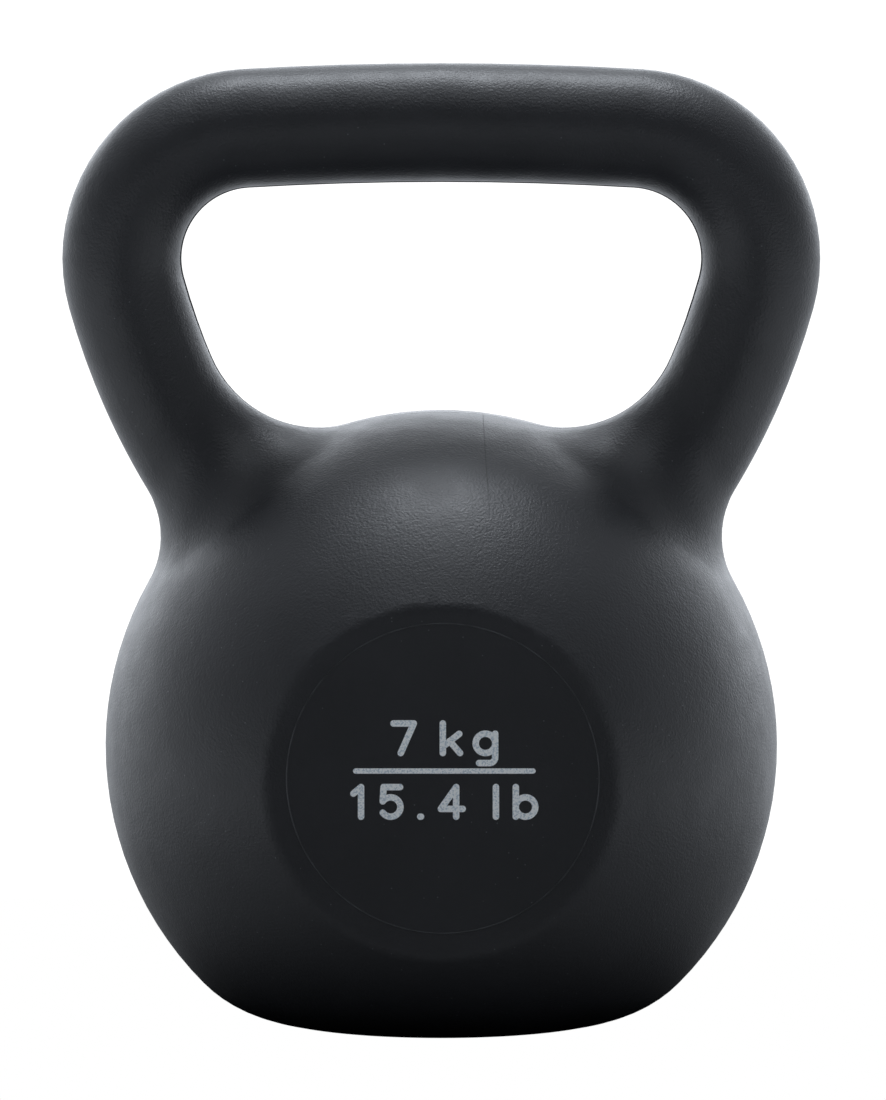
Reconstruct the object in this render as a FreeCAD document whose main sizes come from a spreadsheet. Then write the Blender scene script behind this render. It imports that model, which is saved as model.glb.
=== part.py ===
import FreeCAD, Part
import math
import os
import Sketcher

# Kettlebell, 7 kg: a blow-moulded plastic shell filled with cement mix, with a steel rod inside
# the handle, a plug in the base and a rubber pad to stand on.
# Frame: origin under the middle of the base, +Z up, X along the handle bar, front facet on -Y.

doc = FreeCAD.newDocument("kettlebell")

# ---------------------------------------------------------------- driving dimensions

DIMENSIONS = [
    ("ball_radius", 89.0),
    ("ball_centre", 72.7),           # height of the ball's centre above the floor
    ("base_edge_radius", 33.0),      # roll from the ball into the flat base
    ("facet_depth", 76.0),           # ball centre to each flat facet, front and back
    ("facet_edge_radius", 6.0),
    ("wall", 3.0),                   # plastic wall
    ("grip_radius", 15.6),
    ("bar_height", 238.8),           # centreline of the bar at its middle
    ("bar_bow_radius", 884.0),       # the bar is bowed up slightly
    ("corner_radius", 34.7),         # all handle radii are on its centreline
    ("leg_radius", 176.0),
    ("handle_half_width", 84.6),
    ("foot_spread", 38.7),           # where the centreline ends, inside the ball
    ("foot_height", 116.1),
    ("neck_outer_radius", 24.5),     # blend of leg into ball on the outside
    ("neck_inner_radius", 31.5),     # the same in the window
    ("ring_radius", 40.9),           # witness line of the facet's mould insert
    ("ring_height", 0.2),
    ("ring_rise", 1.3),              # the insert sits slightly above the ball's centre
    ("ring_shift", 0.4),             # and slightly to the right
    ("core_radius", 6.0),            # steel rod in the handle
    ("pad_radius", 35.0),
    ("pad_thickness", 3.0),
    ("pad_proud", 0.5),              # how far the pad stands below the shell
    ("pad_edge_radius", 0.4),
    ("pad_clearance", 0.3),
    ("plug_radius", 14.0),
    ("plug_flange_radius", 18.0),
    ("plug_flange_thickness", 1.6),
    ("plug_length", 9.0),            # stem above the flange
    ("plug_wall", 2.0),
    ("plug_barb", 0.6),
    ("ink_thickness", 0.15),
    ("stroke", 1.7),                 # width of the strokes of the marking
    ("cap_height", 9.5),
    ("rule_length", 47.8),
    ("rule_width", 1.4),
    ("rule_rise", 3.3),              # middle of the rule above the facet's centre
    ("upper_baseline", 7.2),         # foot of each line of the marking, from the same centre
    ("lower_baseline", -9.6),
    ("upper_gap", 4.1),              # between centrelines of neighbouring characters
    ("lower_gap", 5.2),
    ("word_space", 3.5),             # added to the gap between words
    ("marking_shift", 0.8),          # the print sits slightly to the right
]

sizes = doc.addObject("Spreadsheet::Sheet", "sizes")
for row, (alias, value) in enumerate(DIMENSIONS, start=1):
    sizes.set(f"A{row}", alias)
    sizes.set(f"B{row}", str(value))
    sizes.setAlias(f"B{row}", alias)
doc.recompute()


def size(alias):
    """Value of one driving dimension."""
    return float(getattr(sizes, alias))


# ---------------------------------------------------------------- helpers

def new_object(kind, name, **bound):
    """Document object whose properties are bound to expressions on the sheet."""
    thing = doc.addObject(kind, name)
    for prop, expression in bound.items():
        thing.setExpression(prop, expression)
    return thing


def place(thing, x="0", y="0", z="0"):
    """Bind the position of an object to expressions on the sheet."""
    for axis, expression in (("x", x), ("y", y), ("z", z)):
        thing.setExpression(f"Placement.Base.{axis}", expression)


def origin_plane(body, role):
    return [item for item in body.Origin.OriginFeatures if item.Role == role][0]


def new_sketch(body, name, role):
    sketch = body.newObject("Sketcher::SketchObject", name)
    sketch.AttachmentSupport = (origin_plane(body, role), [""])
    sketch.MapMode = "FlatFace"
    return sketch


def limit(sketch, expression, *constraint):
    """Add a dimension to a sketch and bind it to the sheet."""
    value = float(sketch.evalExpression(expression))
    index = sketch.addConstraint(Sketcher.Constraint(*constraint, value))
    sketch.setExpression(f"Constraints[{index}]", expression)


def polar(centre, radius, degrees):
    angle = math.radians(degrees)
    return centre[0] + radius * math.cos(angle), centre[1] + radius * math.sin(angle)


def sketch_arc(centre, radius, start_degrees, end_degrees):
    """Arc for a sketch, counter-clockwise."""
    circle = Part.Circle(FreeCAD.Vector(*centre, 0), FreeCAD.Vector(0, 0, 1), radius)
    return Part.ArcOfCircle(circle, math.radians(start_degrees), math.radians(end_degrees))


def sketch_line(start, end):
    return Part.LineSegment(FreeCAD.Vector(*start, 0), FreeCAD.Vector(*end, 0))


# Sketcher's numbers for a vertex of a geometry, and for the sketch's own axes and origin.
START, END, CENTRE = 1, 2, 3
ORIGIN = (-1, 1)
VERTICAL_AXIS = -2


# ---------------------------------------------------------------- ball and handle

def add_ball(body, inset, floor):
    """Ball with a rolled edge into a flat base: half a turn, mirrored to the front."""
    radius = size("ball_radius") - float(sizes.evalExpression(inset))
    edge = size("base_edge_radius") - float(sizes.evalExpression(inset))
    base = float(sizes.evalExpression(floor))
    centre_height = size("ball_centre")
    drop = centre_height - base - edge
    roll_centre = (math.sqrt((radius - edge) ** 2 - drop ** 2), base + edge)
    tangent_angle = math.degrees(math.atan2(-drop, roll_centre[0]))

    profile = new_sketch(body, "ball_profile", "XZ_Plane")
    profile.addGeometry(sketch_line((0, base), (roll_centre[0], base)))
    profile.addGeometry(sketch_arc(roll_centre, edge, -90, tangent_angle))
    profile.addGeometry(sketch_arc((0, centre_height), radius, tangent_angle, 90))
    profile.addGeometry(sketch_line((0, centre_height + radius), (0, base)))
    base_line, roll, ball, axis = range(4)
    for constraint in (
        ("Tangent", base_line, END, roll, START),
        ("Tangent", roll, END, ball, START),
        ("Coincident", ball, END, axis, START),
        ("Coincident", axis, END, base_line, START),
        ("Horizontal", base_line),
        ("Vertical", axis),
        ("PointOnObject", base_line, START, VERTICAL_AXIS),
        ("PointOnObject", ball, CENTRE, VERTICAL_AXIS),
    ):
        profile.addConstraint(Sketcher.Constraint(*constraint))
    limit(profile, floor, "DistanceY", *ORIGIN, base_line, START)
    limit(profile, "sizes.ball_centre", "DistanceY", *ORIGIN, ball, CENTRE)
    limit(profile, f"sizes.ball_radius - {inset}", "Radius", ball)
    limit(profile, f"sizes.base_edge_radius - {inset}", "Radius", roll)

    half = body.newObject("PartDesign::Revolution", "ball_half")
    half.Profile = profile
    half.ReferenceAxis = (profile, ["V_Axis"])
    half.Angle = 180
    half.Refine = False
    mirror(body, half, "ball_mirror", "XZ_Plane")


def mirror(body, feature, name, role):
    mirrored = body.newObject("PartDesign::Mirrored", name)
    mirrored.Originals = [feature]
    mirrored.MirrorPlane = (origin_plane(body, role), [""])
    mirrored.Refine = False
    body.Tip = mirrored
    doc.recompute()


def handle_path(body):
    """Right half of the handle's centreline: bowed bar, tight corner, gently curved leg."""
    bow, corner, leg = size("bar_bow_radius"), size("corner_radius"), size("leg_radius")
    bow_centre = (0, size("bar_height") - bow)
    corner_x = size("handle_half_width") - corner
    bar_angle = 90 - math.degrees(math.asin(corner_x / (bow - corner)))
    corner_centre = polar(bow_centre, bow - corner, bar_angle)
    foot = (size("foot_spread"), size("foot_height"))

    # The leg's centre lies leg - corner from the corner's centre and leg from the foot.
    across, along = foot[0] - corner_centre[0], foot[1] - corner_centre[1]
    reach = math.hypot(across, along)
    swing = math.acos((reach ** 2 + (leg - corner) ** 2 - leg ** 2) / (2 * reach * (leg - corner)))
    leg_centre = polar(corner_centre, leg - corner,
                       math.degrees(math.atan2(along, across) - swing))
    leg_top = math.degrees(math.atan2(corner_centre[1] - leg_centre[1],
                                      corner_centre[0] - leg_centre[0]))
    leg_foot = math.degrees(math.atan2(foot[1] - leg_centre[1], foot[0] - leg_centre[0]))

    path = new_sketch(body, "handle_path", "XZ_Plane")
    path.addGeometry(sketch_arc(bow_centre, bow, bar_angle, 90))
    path.addGeometry(sketch_arc(corner_centre, corner, leg_top, bar_angle))
    path.addGeometry(sketch_arc(leg_centre, leg, leg_foot, leg_top))
    bar_arc, corner_arc, leg_arc = range(3)
    for constraint in (
        ("Tangent", bar_arc, START, corner_arc, END),
        ("Tangent", corner_arc, START, leg_arc, END),
        ("PointOnObject", bar_arc, CENTRE, VERTICAL_AXIS),
        ("PointOnObject", bar_arc, END, VERTICAL_AXIS),
    ):
        path.addConstraint(Sketcher.Constraint(*constraint))
    limit(path, "sizes.bar_height", "DistanceY", *ORIGIN, bar_arc, END)
    limit(path, "sizes.bar_bow_radius", "Radius", bar_arc)
    limit(path, "sizes.corner_radius", "Radius", corner_arc)
    limit(path, "sizes.leg_radius", "Radius", leg_arc)
    limit(path, "sizes.handle_half_width - sizes.corner_radius",
          "DistanceX", *ORIGIN, corner_arc, CENTRE)
    limit(path, "sizes.foot_spread", "DistanceX", *ORIGIN, leg_arc, START)
    limit(path, "sizes.foot_height", "DistanceY", *ORIGIN, leg_arc, START)
    return path


def add_handle(body, radius):
    """Round bar along the handle's centreline, both halves."""
    path = handle_path(body)
    section = new_sketch(body, "handle_section", "YZ_Plane")
    start_radius = float(sizes.evalExpression(radius))
    section.addGeometry(Part.Circle(FreeCAD.Vector(0, size("bar_height"), 0),
                                    FreeCAD.Vector(0, 0, 1), start_radius))
    section.addConstraint(Sketcher.Constraint("PointOnObject", 0, CENTRE, VERTICAL_AXIS))
    limit(section, "sizes.bar_height", "DistanceY", *ORIGIN, 0, CENTRE)
    limit(section, radius, "Radius", 0)
    doc.recompute()

    half = body.newObject("PartDesign::AdditivePipe", "handle_half")
    half.Profile = section
    half.Spine = (path, ["Edge1", "Edge2", "Edge3"])
    half.Refine = False
    mirror(body, half, "handle_mirror", "YZ_Plane")


def blend_necks(source, name, inset):
    """Blend both legs into the ball; the radius grows from the outside to the window."""
    outer = size("neck_outer_radius") + inset
    inner = size("neck_inner_radius") + inset
    edges = [(number, edge) for number, edge in enumerate(source.Shape.Edges, start=1)
             if not edge.Degenerated and is_neck_edge(edge)]
    spread = [abs(vertex.X) for _, edge in edges for vertex in edge.Vertexes]
    window_side, outside = min(spread), max(spread)

    def radius_at(vertex):
        share = (outside - abs(vertex.X)) / (outside - window_side)
        return outer + share * (inner - outer)

    necked = doc.addObject("Part::Fillet", name)
    necked.Base = source
    necked.Edges = [(number, radius_at(edge.Vertexes[0]), radius_at(edge.Vertexes[-1]))
                    for number, edge in edges]
    doc.recompute()
    return necked


def is_neck_edge(edge):
    """The legs meet the ball along free curves, the only edges here that are not arcs."""
    return edge.Curve.TypeId == "Part::GeomBSplineCurve"


def flatten_facets(source, name, inset):
    """Flat facets front and back, with a soft edge."""
    reach = "(sizes.bar_height + sizes.ball_radius)"
    slab = new_object("Part::Box", f"{name}_slab", Length=reach, Height=reach,
                      Width=f"2 * (sizes.facet_depth - {inset})")
    place(slab, x=f"-{reach} / 2", y=f"-(sizes.facet_depth - {inset})")
    cut = doc.addObject("Part::Common", f"{name}_cut")
    cut.Base = source
    cut.Tool = slab
    doc.recompute()

    facet = size("facet_depth") - float(sizes.evalExpression(inset))
    radius = size("facet_edge_radius") - float(sizes.evalExpression(inset))
    rims = [number for number, edge in enumerate(cut.Shape.Edges, start=1)
            if abs(edge.BoundBox.YLength) < 1e-6 and abs(abs(edge.BoundBox.YMin) - facet) < 1e-6]
    eased = doc.addObject("Part::Fillet", name)
    eased.Base = cut
    eased.Edges = [(number, radius, radius) for number in rims]
    doc.recompute()
    return eased


def ball_and_handle(name, inset, floor):
    """The whole outline of the kettlebell, drawn in by inset all over."""
    body = doc.addObject("PartDesign::Body", f"{name}_form")
    add_ball(body, inset, floor)
    add_handle(body, f"sizes.grip_radius - {inset}")
    necked = blend_necks(body, f"{name}_necks", float(sizes.evalExpression(inset)))
    return flatten_facets(necked, name, inset)


def upright_cylinder(name, radius, bottom, top):
    cylinder = new_object("Part::Cylinder", name, Radius=radius, Height=f"{top} - ({bottom})")
    place(cylinder, z=bottom)
    return cylinder


def boolean(kind, name, base, tool):
    result = doc.addObject(kind, name)
    result.Base = base
    result.Tool = tool
    return result


def facet_ring(name, side):
    """Fine raised line on a facet; side is -1 for the front and 1 for the back."""
    ring = new_object("Part::Torus", name, Radius1="sizes.ring_radius", Radius2="sizes.ring_height")
    ring.Placement.Rotation = FreeCAD.Rotation(FreeCAD.Vector(1, 0, 0), 90)
    place(ring, x="sizes.ring_shift", y=f"{side} * sizes.facet_depth",
          z="sizes.ball_centre + sizes.ring_rise")
    return ring


# ---------------------------------------------------------------- levels in the base

PAD_TOP = "sizes.pad_thickness"
FLANGE_TOP = f"({PAD_TOP} + sizes.plug_flange_thickness)"
CAVITY_FLOOR = f"({FLANGE_TOP} + sizes.wall)"
PLUG_TOP = f"({FLANGE_TOP} + sizes.plug_length)"


# ---------------------------------------------------------------- shell

outline = ball_and_handle("outline", "0", "sizes.pad_proud")
cavity = ball_and_handle("cavity", "sizes.wall", CAVITY_FLOOR)

hollows = doc.addObject("Part::MultiFuse", "hollows")
hollows.Shapes = [
    cavity,
    upright_cylinder("pad_recess", "sizes.pad_radius + sizes.pad_clearance", "0", PAD_TOP),
    upright_cylinder("plug_seat", "sizes.plug_flange_radius", PAD_TOP, FLANGE_TOP),
    upright_cylinder("fill_hole", "sizes.plug_radius", FLANGE_TOP, CAVITY_FLOOR),
]
ringed = doc.addObject("Part::MultiFuse", "ringed")
ringed.Shapes = [outline, facet_ring("front_ring", -1), facet_ring("back_ring", 1)]
shell = boolean("Part::Cut", "shell", ringed, hollows)


# ---------------------------------------------------------------- handle core

core = doc.addObject("PartDesign::Body", "handle_core")
add_handle(core, "sizes.core_radius")


# ---------------------------------------------------------------- fill plug

def plug_body():
    """Push-in cup: flat flange, hollow stem and a barb that snaps behind the base wall."""
    body = doc.addObject("PartDesign::Body", "fill_plug")
    radius, flange = size("plug_radius"), size("plug_flange_radius")
    bottom = size("pad_thickness")
    seat = bottom + size("plug_flange_thickness")
    top = seat + size("plug_length")
    barb = size("plug_barb")
    bore = radius - size("plug_wall")
    catch = seat + size("wall")
    run_in = 3 * barb                 # the barb tapers towards the stem's end
    outline_points = [
        (0, bottom), (flange, bottom), (flange, seat), (radius, seat), (radius, catch),
        (radius + barb, catch + barb), (radius, catch + run_in), (radius, top),
        (bore, top), (bore, seat), (0, seat),
    ]
    profile = new_sketch(body, "plug_profile", "XZ_Plane")
    count = len(outline_points)
    for number in range(count):
        profile.addGeometry(sketch_line(outline_points[number],
                                        outline_points[(number + 1) % count]))
    for number in range(count):
        profile.addConstraint(Sketcher.Constraint("Coincident", number, END,
                                                  (number + 1) % count, START))
    heights = ["sizes.pad_thickness", "sizes.pad_thickness", FLANGE_TOP, FLANGE_TOP,
               CAVITY_FLOOR, f"{CAVITY_FLOOR} + sizes.plug_barb",
               f"{CAVITY_FLOOR} + 3 * sizes.plug_barb", PLUG_TOP, PLUG_TOP,
               FLANGE_TOP, FLANGE_TOP]
    stem, bore_radius = "sizes.plug_radius", "sizes.plug_radius - sizes.plug_wall"
    radii = [None, "sizes.plug_flange_radius", "sizes.plug_flange_radius", stem, stem,
             f"{stem} + sizes.plug_barb", stem, stem, bore_radius, bore_radius, None]
    for number, (across, up) in enumerate(zip(radii, heights)):
        limit(profile, up, "DistanceY", *ORIGIN, number, START)
        if across is None:
            profile.addConstraint(Sketcher.Constraint("PointOnObject", number, START,
                                                      VERTICAL_AXIS))
        else:
            limit(profile, across, "DistanceX", *ORIGIN, number, START)
    turned = body.newObject("PartDesign::Revolution", "plug_turned")
    turned.Profile = profile
    turned.ReferenceAxis = (profile, ["V_Axis"])
    turned.Angle = 360
    return body


plug = plug_body()


# ---------------------------------------------------------------- ballast

buried = doc.addObject("Part::MultiFuse", "buried")
buried.Shapes = [core, plug]
ballast = boolean("Part::Cut", "ballast", cavity, buried)


# ---------------------------------------------------------------- base pad

def pad_body():
    """Round rubber pad with a softened lower edge."""
    body = doc.addObject("PartDesign::Body", "base_pad")
    disc = new_sketch(body, "pad_outline", "XY_Plane")
    disc.addGeometry(Part.Circle(FreeCAD.Vector(0, 0, 0), FreeCAD.Vector(0, 0, 1),
                                 size("pad_radius")))
    disc.addConstraint(Sketcher.Constraint("Coincident", 0, CENTRE, *ORIGIN))
    limit(disc, "sizes.pad_radius", "Radius", 0)
    pad = body.newObject("PartDesign::Pad", "pad_disc")
    pad.Profile = disc
    pad.setExpression("Length", "sizes.pad_thickness")
    doc.recompute()
    lower_rim = [f"Edge{number}" for number, edge in enumerate(pad.Shape.Edges, start=1)
                 if edge.BoundBox.ZMax < 1e-6]
    softened = body.newObject("PartDesign::Fillet", "pad_edge")
    softened.Base = (pad, lower_rim)
    softened.setExpression("Radius", "sizes.pad_edge_radius")
    return body


pad = pad_body()


# ---------------------------------------------------------------- weight marking

def characters():
    """Width and centrelines of each character, baseline at 0.

    A centreline is a straight run (x1, z1, x2, z2) or an arc (x, z, radius, start, end).
    """
    low = size("stroke") / 2
    high = size("cap_height") - low
    bowl = 2.55                       # radius of the round letters
    middle = low + bowl
    opening = 155                     # a bowl's arc ends inside its stem
    neck = polar((bowl, middle), bowl, 144)
    stem = 2 * bowl
    hook = 1.5
    tail = -0.3                       # where the g turns into its hook
    return {
        "7": (5.3, [(0, high, 5.3, high), (5.3, high, 1.9, low)]),
        "1": (2.0, [(0, high - 1.7, 2.0, high), (2.0, high, 2.0, low)]),
        "5": (5.1, [(5.0, high, 0.7, high), (0.7, high, *neck),
                    (bowl, middle, bowl, -144, 144)]),
        "4": (5.7, [(4.0, high, 0, 2.9), (0, 2.9, 5.7, 2.9), (4.0, high, 4.0, low)]),
        ".": (0.2, [(0, low, 0.2, low)]),
        "k": (4.5, [(0, high, 0, low), (4.3, 5.9, 0.6, 3.0), (1.8, 4.0, 4.5, low)]),
        "g": (stem, [(bowl, middle, bowl, 180 - opening, 180 + opening),
                     (stem, middle + bowl, stem, tail),
                     (stem - hook, tail, hook, -90, 0),
                     (stem - hook, tail - hook, 0.9, tail - hook)]),
        "l": (0, [(0, high, 0, low)]),
        "b": (stem, [(0, high, 0, low), (bowl, middle, bowl, -opening, opening)]),
    }


def on_front_facet(drawing, across, up):
    """Stand a flat drawing on the front facet: its X stays, its Y points up, it faces -Y."""
    drawing.Placement.Rotation = FreeCAD.Rotation(FreeCAD.Vector(1, 0, 0), 90)
    place(drawing, x=f"sizes.marking_shift + {across}", y="-sizes.facet_depth",
          z=f"sizes.ball_centre + {up}")


def straight_slot(half, x1, z1, x2, z2):
    """Outline of a straight round-ended stroke; half is half its width."""
    angle = math.degrees(math.atan2(z2 - z1, x2 - x1))
    start, end = (x1, z1), (x2, z2)
    return [
        sketch_arc(start, half, angle + 90, angle + 270),
        sketch_line(polar(start, half, angle - 90), polar(end, half, angle - 90)),
        sketch_arc(end, half, angle - 90, angle + 90),
        sketch_line(polar(end, half, angle + 90), polar(start, half, angle + 90)),
    ]


def curved_slot(half, x, z, radius, start, end):
    """Outline of a round-ended stroke along an arc."""
    centre = (x, z)
    return [
        sketch_arc(centre, radius + half, start, end),
        sketch_arc(polar(centre, radius, end), half, end, end + 180),
        sketch_arc(centre, radius - half, start, end),
        sketch_arc(polar(centre, radius, start), half, start + 180, start + 360),
    ]


def stroke_solid(piece, across, up, name, width="stroke"):
    """One straight or curved stroke of the marking, on the front facet."""
    outline_of = straight_slot if len(piece) == 4 else curved_slot
    drawing = doc.addObject("Sketcher::SketchObject", f"{name}_outline")
    drawing.addGeometry(outline_of(size(width) / 2, *piece))
    on_front_facet(drawing, across, up)
    solid = new_object("Part::Extrusion", name, LengthFwd="sizes.ink_thickness")
    solid.Base = drawing
    solid.DirMode = "Normal"
    solid.Solid = True
    return solid


def marking_line(text, name):
    """Solids of the upper or lower line of the marking, centred on the facet."""
    glyphs = characters()
    baseline, gap = size(f"{name}_baseline"), size(f"{name}_gap")
    space = gap + size("word_space")
    advances = []
    for character, following in zip(text, text[1:] + " "):
        if character != " ":
            advances.append((character, space if following == " " else gap))
    width = sum(glyphs[character][0] + step for character, step in advances) - space
    across = -width / 2
    solids = []
    for place_number, (character, step) in enumerate(advances):
        glyph_width, strokes = glyphs[character]
        for stroke_number, piece in enumerate(strokes):
            solids.append(stroke_solid(piece, across, baseline,
                                       f"{name}_{place_number}_{stroke_number}"))
        across += glyph_width + step
    return solids


reach = (size("rule_length") - size("rule_width")) / 2
rule = stroke_solid((-reach, 0, reach, 0), 0, size("rule_rise"), "marking_rule", "rule_width")

marking = doc.addObject("Part::MultiFuse", "weight_marking")
marking.Shapes = [rule] + marking_line("7 kg", "upper") + marking_line("15.4 lb", "lower")


# ---------------------------------------------------------------- check and write

PIECES = [shell, ballast, core, plug, pad, marking]
SOLIDS = {"weight_marking": 10}      # the rule and nine characters

for piece in PIECES:
    piece.Label = piece.Name
doc.recompute()

for item in doc.Objects:
    if {"Invalid", "Error"} & set(item.State):
        raise RuntimeError(f"{item.Name} failed: {item.State}")

for piece in PIECES:
    shape = piece.Shape
    if shape.isNull() or not shape.isValid():
        raise RuntimeError(f"{piece.Label} has no valid shape")
    if len(shape.Solids) != SOLIDS.get(piece.Label, 1):
        raise RuntimeError(f"{piece.Label} has {len(shape.Solids)} solids")

os.makedirs("parts", exist_ok=True)
for piece in PIECES:
    box = piece.Shape.optimalBoundingBox()
    piece.Shape.exportStep(f"parts/{piece.Label}.step")
    print(f"{piece.Label}: {piece.Shape.Volume / 1000:.1f} cm3, "
          f"x {box.XMin:.2f} {box.XMax:.2f}, y {box.YMin:.2f} {box.YMax:.2f}, "
          f"z {box.ZMin:.2f} {box.ZMax:.2f}")
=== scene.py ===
import math
import bpy
import bmesh
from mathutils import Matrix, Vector


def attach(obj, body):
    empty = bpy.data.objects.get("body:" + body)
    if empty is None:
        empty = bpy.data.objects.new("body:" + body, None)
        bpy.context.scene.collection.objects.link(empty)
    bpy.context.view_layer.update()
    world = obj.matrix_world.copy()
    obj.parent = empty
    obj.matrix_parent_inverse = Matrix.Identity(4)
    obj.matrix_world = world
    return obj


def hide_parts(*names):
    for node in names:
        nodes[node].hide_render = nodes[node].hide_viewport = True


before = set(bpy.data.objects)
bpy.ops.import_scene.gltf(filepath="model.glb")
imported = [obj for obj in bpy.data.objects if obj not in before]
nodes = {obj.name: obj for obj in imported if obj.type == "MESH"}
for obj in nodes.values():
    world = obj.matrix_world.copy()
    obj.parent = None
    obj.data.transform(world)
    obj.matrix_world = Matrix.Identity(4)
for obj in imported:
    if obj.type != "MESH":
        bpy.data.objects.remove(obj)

scene = bpy.context.scene

for leftover in ("Cube", "Light", "Camera"):
    if leftover in bpy.data.objects:
        bpy.data.objects.remove(bpy.data.objects[leftover])
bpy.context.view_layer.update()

MM = 0.001
WELD = 0.001 * MM                 # vertices closer than this are one
WHITE = (1, 1, 1, 1)
COOL_WHITE = (0.93, 0.98, 1.05, 1)  # the studio's light, a little blue

# The few sizes of the object that the scene needs; the rest comes from the frame.
BALL_CENTRE = Vector((0, 0, 72.7 * MM))
CROWN_HEIGHT = 161.7 * MM         # top of the ball, where the window starts
FACET_DEPTH = 76 * MM             # from the middle to the front and back facets

RING_RADIUS = 40.9 * MM
RING_HALF_WIDTH = 0.2 * MM
RING_HEIGHT = 0.2 * MM
RING_RISE = 1.3 * MM              # the ring's centre above the ball's
RING_SHIFT = 0.4 * MM             # and to the right
RING_POINTS = 240

WINDOW_REACH = 40 * MM            # the window is wider than this to each side
WINDOW_DIP = 10 * MM              # and nowhere as far as this below the crown

SEAM_HALF_WIDTH = 0.45 * MM
SEAM_STEP = 1.0 * MM              # between its points
SEAM_ON_CROWN = 0.04 * MM         # its height where it is all but worn away
SEAM_UNDER_BAR = 0.35 * MM        # its full height
SEAM_FULL_ABOVE = 190 * MM        # from here up it has its full height

HAIRLINE_TOP_X = 11.0 * MM
HAIRLINE_FOOT_X = 12.9 * MM
HAIRLINE_FOOT_Z = 139 * MM
HAIRLINE_FADE = 9 * MM            # it fades in over this height


# ---------------------------------------------------------------- camera

ELEVATION = math.radians(7)
DISTANCE = 6.0
FRAME_HEIGHT = 0.29154            # height of the frame at the object
AIM_UP = 51.84 * MM               # the frame's middle above the ball's centre
AIM_RIGHT = 0.45 * MM
SENSOR = 36.0

towards_camera = Vector((0, -math.cos(ELEVATION), math.sin(ELEVATION)))
picture_up = Vector((0, math.sin(ELEVATION), math.cos(ELEVATION)))
aim = BALL_CENTRE + picture_up * AIM_UP + Vector((AIM_RIGHT, 0, 0))

camera_data = bpy.data.cameras.new("camera")
camera_data.sensor_width = SENSOR
camera_data.lens = SENSOR * DISTANCE / FRAME_HEIGHT
camera_data.clip_end = 10 * DISTANCE
camera = bpy.data.objects.new("camera", camera_data)
scene.collection.objects.link(camera)
camera.location = aim + towards_camera * DISTANCE
camera.rotation_euler = towards_camera.to_track_quat("Z", "Y").to_euler()
scene.camera = camera
scene.view_settings.view_transform = "Standard"


# ---------------------------------------------------------------- node helpers

class Graph:
    """A node tree with short ways to add nodes and links."""

    def __init__(self, tree):
        self.tree = tree
        tree.nodes.clear()

    def add(self, kind, inputs=None, **settings):
        node = self.tree.nodes.new(kind)
        for name, value in settings.items():
            setattr(node, name, value)
        for name, value in (inputs or {}).items():
            if isinstance(value, bpy.types.NodeSocket):
                self.tree.links.new(value, node.inputs[name])
            else:
                node.inputs[name].default_value = value
        return node

    def math(self, operation, first, second=0.0):
        return self.add("ShaderNodeMath", {0: first, 1: second}, operation=operation).outputs[0]

    def ramp(self, value, low, high, start=0.0, end=1.0):
        """Smooth step from start to end as value goes from low to high."""
        node = self.add("ShaderNodeMapRange",
                        {"Value": value, "From Min": low, "From Max": high,
                         "To Min": start, "To Max": end}, interpolation_type="SMOOTHSTEP")
        return node.outputs["Result"]

    def straight(self, value, low, high, start, end):
        """Straight ramp, clamped at both ends."""
        node = self.add("ShaderNodeMapRange",
                        {"Value": value, "From Min": low, "From Max": high,
                         "To Min": start, "To Max": end})
        return node.outputs["Result"]

    def noise(self, place, scale, detail=2.0, roughness=0.5):
        """Soft noise from 0 to 1; scale is in cells to the metre."""
        return self.add("ShaderNodeTexNoise",
                        {"Vector": place, "Scale": scale, "Detail": detail,
                         "Roughness": roughness}).outputs["Fac"]

    def mix(self, share, first, second):
        """Colour that goes from first to second as share goes from 0 to 1."""
        node = self.add("ShaderNodeMix", data_type="RGBA")
        for name, value in (("Factor", share), ("A", first), ("B", second)):
            socket = [s for s in node.inputs if s.name == name and s.enabled][0]
            if isinstance(value, bpy.types.NodeSocket):
                self.tree.links.new(value, socket)
            else:
                socket.default_value = value
        return [s for s in node.outputs if s.enabled][0]


def new_material(name):
    material = bpy.data.materials.new(name)
    material.use_nodes = True
    return material, Graph(material.node_tree)


def give(node_name, material):
    """Assign a material to a carried-over CAD node."""
    for slot in nodes[node_name].material_slots:
        slot.material = material


# ---------------------------------------------------------------- materials

def dust_specks(g, place):
    """Share of dust: sparse pale specks, gathered in patches."""
    speck_radius = 0.045              # in cells of the pattern
    cells = g.add("ShaderNodeTexVoronoi", {"Vector": place, "Scale": 380}).outputs
    speck = g.ramp(cells["Distance"], speck_radius, 2 * speck_radius, 1.0, 0.0)
    chosen = g.add("ShaderNodeSeparateColor", {"Color": cells["Color"]}).outputs["Red"]
    patch = g.ramp(g.noise(place, 28, detail=2.0), 0.42, 0.58, 0.12, 0.80)
    kept = g.math("LESS_THAN", chosen, patch)
    return g.math("MULTIPLY", speck, kept)


def crown_hairline(g, parts):
    """Share of a faint flow line that runs from the crown down the front of the ball."""
    core = 0.04 * MM
    half_width = 0.22 * MM
    middle = g.straight(parts["Z"], HAIRLINE_FOOT_Z, CROWN_HEIGHT, HAIRLINE_FOOT_X, HAIRLINE_TOP_X)
    aside = g.math("ABSOLUTE", g.math("SUBTRACT", parts["X"], middle))
    line = g.ramp(aside, core, half_width, 1.0, 0.0)
    down = g.ramp(parts["Z"], HAIRLINE_FOOT_Z, HAIRLINE_FOOT_Z + HAIRLINE_FADE)
    on_ball = g.math("LESS_THAN", parts["Z"], CROWN_HEIGHT + 1 * MM)
    in_front = g.math("LESS_THAN", parts["Y"], 0.0)
    return g.math("MULTIPLY", g.math("MULTIPLY", line, down), g.math("MULTIPLY", on_ball, in_front))


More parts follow.
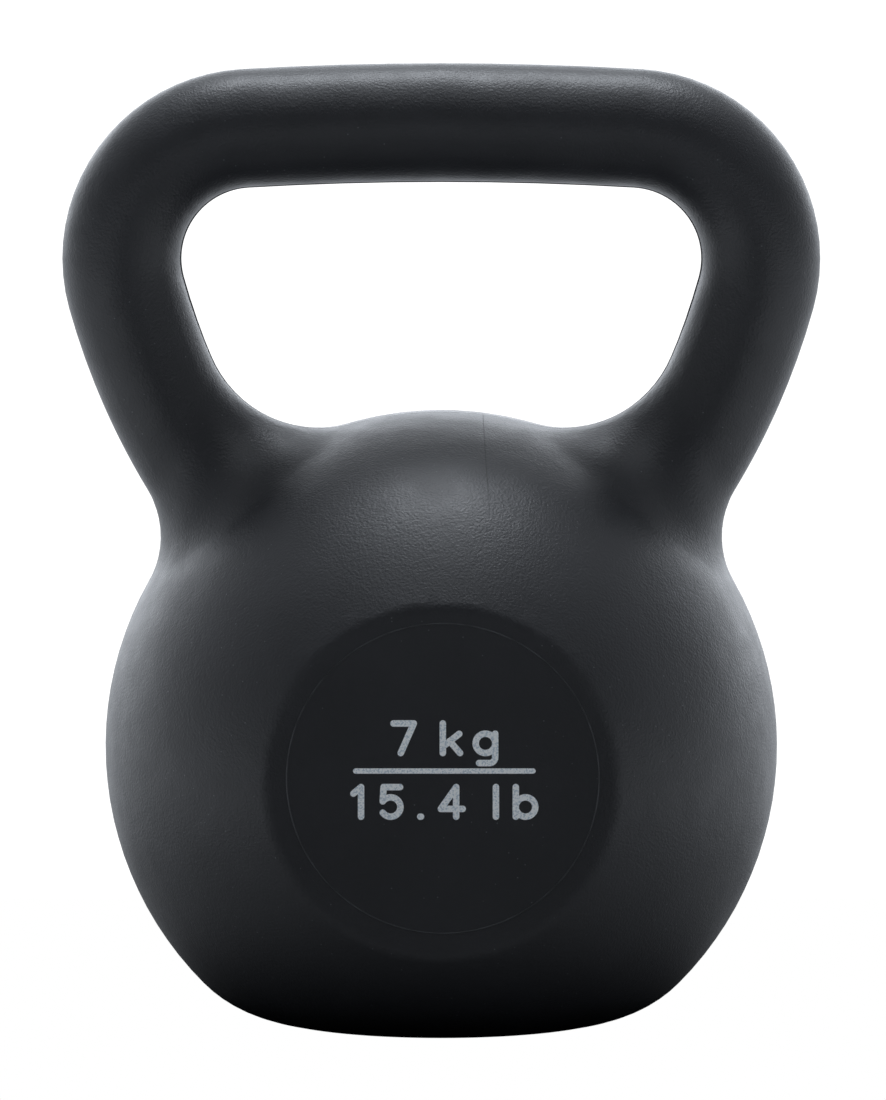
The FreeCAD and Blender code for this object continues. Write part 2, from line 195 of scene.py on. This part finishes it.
def painted_highlight_plastic():
    """The same plastic painted paler, as a painted highlight for the light line on the raised rings,
    patchy at random.
    """
    material, g = new_material("painted_highlight_plastic")
    place = g.add("ShaderNodeTexCoord").outputs["Object"]
    highlight_patchiness = g.ramp(g.noise(place, 160, detail=3.0), 0.35, 0.65)
    # Painted highlight: both tones are paler than the plastic and paint the light line that the ridge
    # catches from above.
    colour = g.mix(highlight_patchiness, (0.022, 0.0235, 0.026, 1), (0.048, 0.051, 0.056, 1))
    shader = g.add("ShaderNodeBsdfPrincipled", {"Base Color": colour, "Roughness": 0.42, "IOR": 1.5})
    g.add("ShaderNodeOutputMaterial", {"Surface": shader.outputs["BSDF"]})
    return material


def moulded_plastic():
    """Matte charcoal plastic with an orange-peel grain, a hairline and a few specks of dust."""
    material, g = new_material("charcoal_plastic")
    place = g.add("ShaderNodeTexCoord").outputs["Object"]
    parts = g.add("ShaderNodeSeparateXYZ", {"Vector": place}).outputs
    peel = g.noise(place, 1500, detail=2.0)
    pits = g.noise(place, 420, detail=1.0)
    waves = g.noise(place, 30, detail=1.0)
    coarse = g.math("ADD", g.math("MULTIPLY", pits, 0.4), g.math("MULTIPLY", waves, 2.0))
    height = g.math("ADD", peel, coarse)
    bump = g.add("ShaderNodeBump", {"Height": height, "Strength": 0.85, "Distance": 0.15 * MM})
    tint = g.ramp(g.noise(place, 45, detail=3.0), 0.35, 0.65)
    plastic = g.mix(tint, (0.0120, 0.0128, 0.0152, 1), (0.0145, 0.0153, 0.0182, 1))
    dusty = g.mix(dust_specks(g, place), plastic, (0.075, 0.08, 0.085, 1))
    hairline = crown_hairline(g, parts)
    colour = g.mix(g.math("MULTIPLY", hairline, 0.6), dusty, (0.003, 0.003, 0.004, 1))
    rough = g.math("ADD", g.straight(g.noise(place, 120, detail=2.0), 0.3, 0.7, 0.41, 0.47),
                   g.math("MULTIPLY", hairline, 0.12))
    shader = g.add("ShaderNodeBsdfPrincipled",
                   {"Base Color": colour, "Roughness": rough, "IOR": 1.5,
                    "Normal": bump.outputs["Normal"]})
    g.add("ShaderNodeOutputMaterial", {"Surface": shader.outputs["BSDF"]})
    return material


def printed_ink():
    """Pale grey-blue ink, slightly speckled where the grain shows through."""
    material, g = new_material("printed_ink")
    place = g.add("ShaderNodeTexCoord").outputs["Object"]
    speckle = g.ramp(g.noise(place, 2000, detail=2.0), 0.34, 0.54)
    colour = g.mix(speckle, (0.60, 0.69, 0.76, 1), (0.97, 1.0, 1.0, 1))
    shader = g.add("ShaderNodeBsdfPrincipled",
                   {"Base Color": colour, "Roughness": 0.6, "IOR": 1.45})
    g.add("ShaderNodeOutputMaterial", {"Surface": shader.outputs["BSDF"]})
    return material


def simple_grain(name, dark, light, scale, roughness, metallic=0.0):
    """Plain material with a fine grain, for the pad, the plug, the ballast and the steel core."""
    material, g = new_material(name)
    place = g.add("ShaderNodeTexCoord").outputs["Object"]
    grain = g.noise(place, scale, detail=4.0)
    colour = g.mix(g.ramp(grain, 0.3, 0.7), dark, light)
    bump = g.add("ShaderNodeBump", {"Height": grain, "Strength": 0.4, "Distance": 0.3 * MM})
    shader = g.add("ShaderNodeBsdfPrincipled",
                   {"Base Color": colour, "Roughness": roughness, "Metallic": metallic,
                    "Normal": bump.outputs["Normal"]})
    g.add("ShaderNodeOutputMaterial", {"Surface": shader.outputs["BSDF"]})
    return material


plastic = moulded_plastic()
give("shell", plastic)
give("weight_marking", printed_ink())
give("base_pad", simple_grain("pad_rubber", (0.012, 0.012, 0.012, 1), (0.02, 0.02, 0.02, 1),
                              scale=900, roughness=0.8))
give("fill_plug", simple_grain("plug_plastic", (0.01, 0.01, 0.01, 1), (0.02, 0.02, 0.02, 1),
                               scale=500, roughness=0.5))
give("ballast", simple_grain("cement_mix", (0.25, 0.24, 0.22, 1), (0.5, 0.49, 0.46, 1),
                             scale=300, roughness=0.9))
give("handle_core", simple_grain("steel_rod", (0.3, 0.29, 0.28, 1), (0.45, 0.44, 0.42, 1),
                                 scale=200, roughness=0.4, metallic=1.0))


# ---------------------------------------------------------------- shell skin

def shell_skin():
    """The shell with its faces welded together, so that the soft blends shade without lines."""
    mesh = bmesh.new()
    mesh.from_mesh(nodes["shell"].data)
    for vert in mesh.verts:           # the rings come back finer in facet_rings
        vert.co.y = min(max(vert.co.y, -FACET_DEPTH), FACET_DEPTH)
    bmesh.ops.remove_doubles(mesh, verts=mesh.verts, dist=WELD)
    data = bpy.data.meshes.new("shell_skin")
    mesh.to_mesh(data)
    mesh.free()
    if data.has_custom_normals:
        data.attributes.remove(data.attributes["custom_normal"])
    data.shade_smooth()
    data.set_sharp_from_angle(angle=math.radians(35))  # keeps the edges of the base
    skin = bpy.data.objects.new("shell_skin", data)
    scene.collection.objects.link(skin)
    weighted = skin.modifiers.new("weighted_normals", "WEIGHTED_NORMAL")
    weighted.keep_sharp = True
    data.materials.clear()
    data.materials.append(plastic)
    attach(skin, "root")
    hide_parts("shell")


shell_skin()


# ---------------------------------------------------------------- seam and witness lines

def window_outline():
    """Points round the finger window in the plane of symmetry, cut from the shell's mesh."""
    cut = bmesh.new()
    cut.from_mesh(nodes["shell"].data)
    everything = cut.verts[:] + cut.edges[:] + cut.faces[:]
    crossing = bmesh.ops.bisect_plane(cut, geom=everything, dist=0.1 * WELD, plane_co=(0, 0, 0),
                                      plane_no=(0, 1, 0))["geom_cut"]
    bmesh.ops.remove_doubles(cut, verts=[v for v in crossing if isinstance(v, bmesh.types.BMVert)],
                             dist=WELD)
    neighbours = {}
    for edge in cut.edges:
        first, second = edge.verts
        if abs(first.co.y) < WELD and abs(second.co.y) < WELD:
            neighbours.setdefault(first, []).append(second)
            neighbours.setdefault(second, []).append(first)

    def position(vert):
        return tuple(vert.co)

    # Each loop starts at its leftmost point, so that it is the same in every run.
    loops = []
    left = set(neighbours)
    while left:
        vert = min(left, key=position)
        left.remove(vert)
        loop = [vert.co.copy()]
        ahead = [other for other in neighbours[vert] if other in left]
        while ahead:
            vert = min(ahead, key=position)
            left.remove(vert)
            loop.append(vert.co.copy())
            ahead = [other for other in neighbours[vert] if other in left]
        loops.append(loop)
    cut.free()

    def surrounds_window(loop):
        across = [point.x for point in loop]
        lowest = min(point.z for point in loop)
        return (min(across) < -WINDOW_REACH and max(across) > WINDOW_REACH
                and lowest > CROWN_HEIGHT - WINDOW_DIP)

    def height(loop):
        return max(point.z for point in loop) - min(point.z for point in loop)

    # The inside of the casing's wall runs round the window too, in a taller loop.
    return min(filter(surrounds_window, loops), key=height)


def evenly_spaced(points, step):
    """Points along a closed line, at the even step nearest to the one given."""
    closed = points + points[:1]
    lengths = [(end - start).length for start, end in zip(closed, closed[1:])]
    count = round(sum(lengths) / step)
    even_step = sum(lengths) / count
    spaced = []
    walked = 0.0
    for start, end, length in zip(closed, closed[1:], lengths):
        while len(spaced) < count and len(spaced) * even_step < walked + length:
            spaced.append(start.lerp(end, (len(spaced) * even_step - walked) / length))
        walked += length
    return spaced


def raised_line(name, line, outwards, heights, half_width, material):
    """Fine ridge along a closed line, with the way out of the surface and a height at each point."""
    sunk = 0.1 * MM                   # its foot below the surface
    steps = 8
    angles = [math.pi * step / steps for step in range(steps + 1)]
    mesh = bmesh.new()
    rings = []
    for number, point in enumerate(line):
        along = (line[(number + 1) % len(line)] - line[number - 1]).normalized()
        out = outwards[number]
        aside = along.cross(out) * half_width
        rise = out * (heights[number] + sunk)
        foot = point - out * sunk
        rings.append([mesh.verts.new(foot + aside * math.cos(angle) + rise * math.sin(angle))
                      for angle in angles])
    for number, ring in enumerate(rings):
        previous = rings[number - 1]
        for corner in range(len(angles)):
            following = (corner + 1) % len(angles)
            mesh.faces.new((previous[corner], previous[following], ring[following], ring[corner]))
    bmesh.ops.recalc_face_normals(mesh, faces=mesh.faces)
    data = bpy.data.meshes.new(name)
    mesh.to_mesh(data)
    mesh.free()
    data.shade_smooth()
    data.set_sharp_from_angle(angle=math.radians(60))
    data.materials.append(material)
    ridge = bpy.data.objects.new(name, data)
    scene.collection.objects.link(ridge)
    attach(ridge, "root")


def window_seam():
    """Seam round the window, where the mould pinched the plastic together; faint on the crown."""
    line = evenly_spaced(window_outline(), SEAM_STEP)
    middle = sum(line, Vector()) / len(line)
    outwards = []
    heights = []
    for number, point in enumerate(line):
        along = (line[(number + 1) % len(line)] - line[number - 1]).normalized()
        inwards = Vector((-along.z, 0, along.x))
        outwards.append(inwards if inwards.dot(middle - point) > 0 else -inwards)
        share = min(max((point.z - CROWN_HEIGHT) / (SEAM_FULL_ABOVE - CROWN_HEIGHT), 0.0), 1.0)
        heights.append(SEAM_ON_CROWN + share * (SEAM_UNDER_BAR - SEAM_ON_CROWN))
    raised_line("window_seam", line, outwards, heights, SEAM_HALF_WIDTH, plastic)


def facet_rings():
    """Witness line of the mould insert on each facet, over the coarser one of the frame."""
    # The rings get the paler plastic, a painted highlight for their light line.
    ring_highlight_plastic = painted_highlight_plastic()
    for name, side in (("front_ring", -1), ("back_ring", 1)):
        centre = BALL_CENTRE + Vector((RING_SHIFT, side * FACET_DEPTH, RING_RISE))
        angles = [2 * math.pi * step / RING_POINTS for step in range(RING_POINTS)]
        line = [centre + Vector((math.cos(angle), 0, math.sin(angle))) * RING_RADIUS
                for angle in angles]
        outwards = [Vector((0, side, 0))] * RING_POINTS
        heights = [RING_HEIGHT] * RING_POINTS
        raised_line(name, line, outwards, heights, RING_HALF_WIDTH, ring_highlight_plastic)


window_seam()
facet_rings()


# ---------------------------------------------------------------- floor and light

def pale_floor():
    """White floor, unseen from below; the camera sees it plain white. To the object it glows as
    painted light, bright behind and beside, with a painted shadow that leaves it dark underneath and
    close around it.
    """
    mesh = bpy.data.meshes.new("floor")
    half = 8.0
    mesh.from_pydata([(-half, -half, 0), (half, -half, 0), (half, half, 0), (-half, half, 0)],
                     [], [(0, 1, 2, 3)])
    floor = bpy.data.objects.new("floor", mesh)
    floor.location.z = -0.05 * MM     # clear of the pad's underside
    scene.collection.objects.link(floor)
    material, g = new_material("floor_white_painted_glow")
    place = g.add("ShaderNodeTexCoord").outputs["Object"]
    parts = g.add("ShaderNodeSeparateXYZ", {"Vector": place}).outputs
    reach = g.add("ShaderNodeVectorMath", {0: place}, operation="LENGTH").outputs["Value"]
    # Each ramp runs between two places in metres and goes from one glow to another. Close to the
    # object every ramp gives no glow, a painted shadow of the object on the floor.
    behind = g.ramp(parts["Y"], 0.03, 0.30, 0.0, 1.2)
    beside = g.ramp(g.math("ABSOLUTE", parts["X"]), 0.08, 0.32, 0.0, 1.0)
    around_painted_shadow = g.math("MULTIPLY", g.ramp(reach, 0.055, 0.14, 0.0, 0.34),
                    g.ramp(parts["Y"], -0.30, -0.10, 0.25, 1.0))
    glow = g.math("MAXIMUM", g.math("MAXIMUM", behind, beside), around_painted_shadow)
    # Painted light: rays other than the camera's see the floor glow in this pattern; the camera sees
    # it white.
    seen = g.add("ShaderNodeLightPath").outputs["Is Camera Ray"]
    above = g.add("ShaderNodeEmission",
                  {"Color": g.mix(seen, COOL_WHITE, WHITE), "Strength": g.math("MAXIMUM", glow, seen)})
    below = g.add("ShaderNodeBsdfTransparent")
    facing = g.add("ShaderNodeNewGeometry").outputs["Backfacing"]
    shader = g.add("ShaderNodeMixShader", {0: facing, 1: above.outputs[0], 2: below.outputs[0]})
    g.add("ShaderNodeOutputMaterial", {"Surface": shader.outputs[0]})
    mesh.materials.append(material)


def studio_light():
    """White backdrop behind and beside the object, dim towards the camera."""
    world = bpy.data.worlds.new("studio")
    scene.world = world
    world.use_nodes = True
    g = Graph(world.node_tree)
    direction = g.add("ShaderNodeTexCoord").outputs["Generated"]
    parts = g.add("ShaderNodeSeparateXYZ", {"Vector": direction}).outputs
    sides = g.straight(parts["Y"], -0.9, 0.5, 0.11, 0.7)
    backdrop = g.math("MULTIPLY", g.ramp(parts["Y"], 0.4, 1.0, 0.0, 2.8),
                      g.ramp(parts["Z"], 0.22, 0.60, 1.0, 0.12))
    seen = g.add("ShaderNodeLightPath").outputs["Is Camera Ray"]
    strength = g.math("MAXIMUM", g.math("ADD", sides, backdrop), seen)
    background = g.add("ShaderNodeBackground",
                       {"Color": g.mix(seen, COOL_WHITE, WHITE), "Strength": strength})
    g.add("ShaderNodeOutputWorld", {"Surface": background.outputs["Background"]})


def soft_box(name, direction, distance, width, depth, radiance):
    """Lamp that faces the ball's centre. The camera doesn't see it."""
    data = bpy.data.lights.new(name, "AREA")
    data.shape = "RECTANGLE"
    data.size = width
    data.size_y = depth
    data.energy = radiance * width * depth * math.pi
    data.color = COOL_WHITE[:3]
    light = bpy.data.objects.new(name, data)
    scene.collection.objects.link(light)
    towards = Vector(direction).normalized()
    light.location = BALL_CENTRE + towards * distance
    light.rotation_euler = towards.to_track_quat("Z", "Y").to_euler()
    light.visible_camera = False


pale_floor()
studio_light()
soft_box("overhead", (0, 0.27, 1), distance=1.6, width=0.80, depth=0.42, radiance=15.0)
soft_box("front_top", (0, -0.4, 1), distance=2.0, width=1.4, depth=0.9, radiance=0.9)
